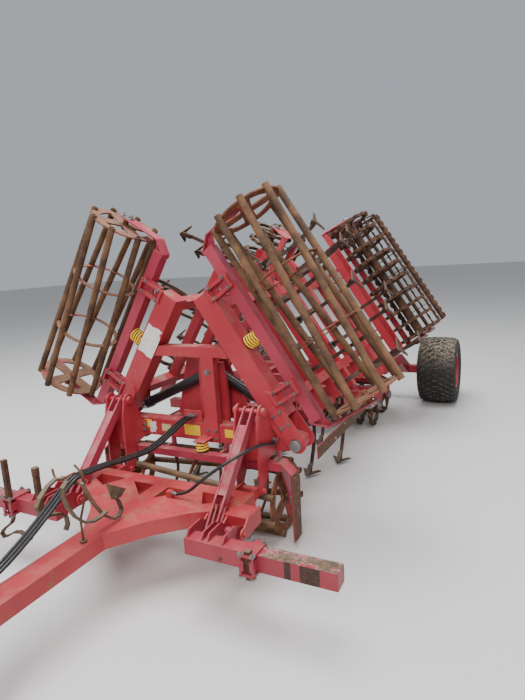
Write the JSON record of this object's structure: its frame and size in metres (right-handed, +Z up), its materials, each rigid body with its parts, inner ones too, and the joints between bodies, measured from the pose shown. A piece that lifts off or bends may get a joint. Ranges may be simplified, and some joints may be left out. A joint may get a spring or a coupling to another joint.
{
  "type": "folding combination cultivator",
  "caption": "Towed folding soil cultivator standing folded: drawbar frame, two hinged wings leaning inward, tube cage rollers, spring tines, rear rollers and transport wheels.",
  "frame": {"origin": "on the floor, in the middle of the outer box, on the midplane of the machine", "axes": "+X to the side of the parking jack, +Y rearwards from the hitch to the wheels, +Z up"},
  "size_m": [3.2148, 6.947, 2.5375],
  "materials": {
    "red_paint": "sun-faded red paint, scuffed",
    "rust": "rusty brown steel",
    "dark_steel": "dark worn steel with rust",
    "yellow_paint": "yellow paint",
    "black_paint": "black paint",
    "bright_steel": "ground piston rod",
    "black_rubber": "black hydraulic hose",
    "tyre_rubber": "dusty black rubber"
  },
  "bodies": {
    "machine": {"centre_frame": "red_paint", "tower": "red_paint", "posts": "red_paint", "wing_rest": "red_paint", "tines_centre": "dark_steel", "board_centre": "red_paint", "roller_frame_centre": "red_paint", "spring_centre": "yellow_paint", "side_plate_left": "red_paint", "side_plate_right": "red_paint", "rear_roller_frame_centre": "red_paint", "hose_1": "black_rubber", "hose_2": "black_rubber", "hose_3": "black_rubber", "hose_4": "black_rubber"},
    "drawbar_body": {"drawbar": "red_paint", "hitch_eye": "red_paint", "toolbars": "red_paint", "jack_case": "red_paint", "track_tines": "rust", "hung_tines": "rust", "couplers": "bright_steel", "hose_holder": "red_paint"},
    "jack_body": {"jack_leg": "red_paint"},
    "wing_left": {"wing_frame_left": "red_paint", "wing_tubes_left": "red_paint", "tines_left": "dark_steel", "board_left": "red_paint", "roller_frame_left": "red_paint", "spring_left": "yellow_paint", "rear_roller_frame_left": "red_paint"},
    "fold_barrel_left_body": {"fold_barrel_left": "black_paint"},
    "fold_rod_left_body": {"fold_rod_left": "bright_steel"},
    "top_link_left_body": {"top_link_left": "red_paint"},
    "wheel_left": {"rim_left": "red_paint", "tyre_left": "tyre_rubber"},
    "tube_roller_left_body": {"tube_roller_left": "rust"},
    "ring_roller_left_body": {"ring_roller_left": "dark_steel"},
    "slat_roller_left_body": {"slat_roller_left": "dark_steel"},
    "wing_right": {"wing_frame_right": "red_paint", "wing_tubes_right": "red_paint", "tines_right": "dark_steel", "board_right": "red_paint", "roller_frame_right": "red_paint", "spring_right": "yellow_paint", "rear_roller_frame_right": "red_paint"},
    "fold_barrel_right_body": {"fold_barrel_right": "black_paint"},
    "fold_rod_right_body": {"fold_rod_right": "bright_steel"},
    "top_link_right_body": {"top_link_right": "red_paint"},
    "wheel_right": {"rim_right": "red_paint", "tyre_right": "tyre_rubber"},
    "tube_roller_right_body": {"tube_roller_right": "rust"},
    "ring_roller_right_body": {"ring_roller_right": "dark_steel"},
    "slat_roller_right_body": {"slat_roller_right": "dark_steel"},
    "tube_roller_centre_body": {"tube_roller_centre": "rust"},
    "ring_roller_centre_body": {"ring_roller_centre": "dark_steel"},
    "slat_roller_centre_body": {"slat_roller_centre": "dark_steel"},
    "axle_body": {"axle_frame": "red_paint"},
    "axle_barrel_body": {"axle_barrel": "black_paint"},
    "axle_rod_body": {"axle_rod": "bright_steel"}
  },
  "joints": [
    {"name": "wing_left_fold", "type": "hinge", "parent": "machine", "child": "wing_left", "pos_m": [0.863, -0.7445, 0.739], "axis": [0, 1, 0], "range_deg": [0, 122.5]},
    {"name": "fold_barrel_left_turn", "type": "hinge", "parent": "machine", "child": "fold_barrel_left_body", "pos_m": [0.125, -0.5935, 1.17], "axis": [0, 1, 0], "range_deg": [-8.08, 0]},
    {"name": "fold_rod_left_slide", "type": "slide", "parent": "fold_barrel_left_body", "child": "fold_rod_left_body", "axis": [0.8689, 0, -0.4949], "range_m": [0, 0.2888]},
    {"name": "top_link_left_turn", "type": "hinge", "parent": "machine", "child": "top_link_left_body", "pos_m": [0.592, -0.9935, 1.011], "axis": [1, 0, 0], "range_deg": [-5.15, 0]},
    {"name": "tube_roller_left_spin", "type": "hinge", "parent": "wing_left", "child": "tube_roller_left_body", "pos_m": [0.94932, -0.7575, 1.74254], "axis": [-0.5373, 0, 0.8434], "continuous": true},
    {"name": "ring_roller_left_spin", "type": "hinge", "parent": "wing_left", "child": "ring_roller_left_body", "pos_m": [0.86756, 1.8065, 1.74618], "axis": [-0.5373, 0, 0.8434], "continuous": true},
    {"name": "slat_roller_left_spin", "type": "hinge", "parent": "wing_left", "child": "slat_roller_left_body", "pos_m": [0.86756, 2.3065, 1.74618], "axis": [-0.5373, 0, 0.8434], "continuous": true},
    {"name": "wheel_left_spin", "type": "hinge", "parent": "axle_body", "child": "wheel_left", "pos_m": [1.29, 3.0365, 0.437], "axis": [1, 0, 0], "continuous": true},
    {"name": "wing_right_fold", "type": "hinge", "parent": "machine", "child": "wing_right", "pos_m": [-0.863, -0.7445, 0.739], "axis": [0, 1, 0], "range_deg": [-122.5, 0]},
    {"name": "fold_barrel_right_turn", "type": "hinge", "parent": "machine", "child": "fold_barrel_right_body", "pos_m": [0.025, -0.5935, 1.17], "axis": [0, 1, 0], "range_deg": [0, 5.71]},
    {"name": "fold_rod_right_slide", "type": "slide", "parent": "fold_barrel_right_body", "child": "fold_rod_right_body", "axis": [-0.9105, 0, -0.4134], "range_m": [0, 0.2958]},
    {"name": "top_link_right_turn", "type": "hinge", "parent": "machine", "child": "top_link_right_body", "pos_m": [-0.592, -0.9935, 1.011], "axis": [1, 0, 0], "range_deg": [-5.15, 0]},
    {"name": "tube_roller_right_spin", "type": "hinge", "parent": "wing_right", "child": "tube_roller_right_body", "pos_m": [-0.94932, -0.7575, 1.74254], "axis": [0.5373, 0, 0.8434], "continuous": true},
    {"name": "ring_roller_right_spin", "type": "hinge", "parent": "wing_right", "child": "ring_roller_right_body", "pos_m": [-0.86756, 1.8065, 1.74618], "axis": [0.5373, 0, 0.8434], "continuous": true},
    {"name": "slat_roller_right_spin", "type": "hinge", "parent": "wing_right", "child": "slat_roller_right_body", "pos_m": [-0.86756, 2.3065, 1.74618], "axis": [0.5373, 0, 0.8434], "continuous": true},
    {"name": "wheel_right_spin", "type": "hinge", "parent": "axle_body", "child": "wheel_right", "pos_m": [-1.29, 3.0365, 0.437], "axis": [1, 0, 0], "continuous": true},
    {"name": "tube_roller_centre_spin", "type": "hinge", "parent": "machine", "child": "tube_roller_centre_body", "pos_m": [0, -0.7575, 0.291], "axis": [1, 0, 0], "continuous": true},
    {"name": "ring_roller_centre_spin", "type": "hinge", "parent": "machine", "child": "ring_roller_centre_body", "pos_m": [0, 1.8065, 0.252], "axis": [1, 0, 0], "continuous": true},
    {"name": "slat_roller_centre_spin", "type": "hinge", "parent": "machine", "child": "slat_roller_centre_body", "pos_m": [0, 2.3065, 0.252], "axis": [1, 0, 0], "continuous": true},
    {"name": "drawbar_tilt", "type": "hinge", "parent": "machine", "child": "drawbar_body", "pos_m": [0, -1.0455, 0.46], "axis": [1, 0, 0], "range_deg": [-10, 0], "deforming": ["hose_1", "hose_2", "hose_3", "hose_4"]},
    {"name": "jack_slide", "type": "slide", "parent": "drawbar_body", "child": "jack_body", "axis": [0, 0, 1], "range_m": [0, 0.2]},
    {"name": "axle_lift", "type": "hinge", "parent": "machine", "child": "axle_body", "pos_m": [0, 1.7465, 0.7], "axis": [1, 0, 0], "range_deg": [0, 13]},
    {"name": "axle_barrel_turn", "type": "hinge", "parent": "machine", "child": "axle_barrel_body", "pos_m": [0, 1.0665, 1.04], "axis": [1, 0, 0], "range_deg": [-0.62, 0]},
    {"name": "axle_rod_slide", "type": "slide", "parent": "axle_barrel_body", "child": "axle_rod_body", "axis": [0, 1, 0], "range_m": [-0.0772, 0]}
  ],
  "couplings": [
    {"joint": "fold_barrel_left_turn", "follows": "wing_left_fold", "ratio": -0.06517},
    {"joint": "fold_rod_left_slide", "follows": "wing_left_fold", "m_per_rad": 0.13462},
    {"joint": "top_link_left_turn", "follows": "drawbar_tilt", "ratio": 0.46074},
    {"joint": "fold_barrel_right_turn", "follows": "wing_right_fold", "ratio": -0.045784},
    {"joint": "fold_rod_right_slide", "follows": "wing_right_fold", "m_per_rad": -0.13791},
    {"joint": "top_link_right_turn", "follows": "drawbar_tilt", "ratio": 0.46074},
    {"joint": "axle_barrel_turn", "follows": "axle_lift", "ratio": -0.046458},
    {"joint": "axle_rod_slide", "follows": "axle_lift", "m_per_rad": -0.33807}
  ]
}
